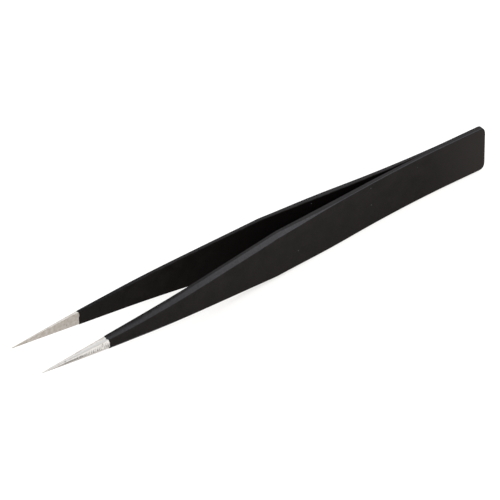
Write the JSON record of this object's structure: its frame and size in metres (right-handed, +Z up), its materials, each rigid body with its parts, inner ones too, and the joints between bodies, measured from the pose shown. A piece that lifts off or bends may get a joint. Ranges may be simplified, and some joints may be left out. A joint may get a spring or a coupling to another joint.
{
  "type": "precision tweezers",
  "caption": "Straight needle-point tweezers: two sprung steel arms welded at the tail, with a black coating and bare tapered tips.",
  "frame": {"origin": "on the surface that the tweezers stand on, under the middle of their bounding box", "axes": "+X from the points to the tail, +Y from the left arm to the right arm, +Z up, across the width of the arms"},
  "size_m": [0.12, 0.0118, 0.0116],
  "materials": {
    "steel": "satin ground stainless steel",
    "coating": "matte black epoxy, finely pebbled"
  },
  "bodies": {
    "tail": {"left_tail_blade": "steel", "right_tail_blade": "steel", "spot_weld_rear": "steel", "spot_weld_middle": "steel", "spot_weld_front": "steel", "tail_coating": "coating"},
    "left_arm": {"left_arm_blade": "steel", "left_arm_coating": "coating"},
    "right_arm": {"right_arm_blade": "steel", "right_arm_coating": "coating"}
  },
  "joints": [
    {"name": "left_arm_flex", "type": "hinge", "parent": "tail", "child": "left_arm", "pos_m": [0.038, -0.00057, 0.00579], "axis": [0, 0, -1], "range_deg": [0, 2.98], "stiffness_Nm_per_rad": 1.8},
    {"name": "right_arm_flex", "type": "hinge", "parent": "tail", "child": "right_arm", "pos_m": [0.038, 0.00057, 0.00579], "axis": [0, 0, 1], "range_deg": [0, 2.98], "stiffness_Nm_per_rad": 1.8}
  ],
  "couplings": [
    {"joint": "right_arm_flex", "follows": "left_arm_flex", "ratio": 1}
  ]
}
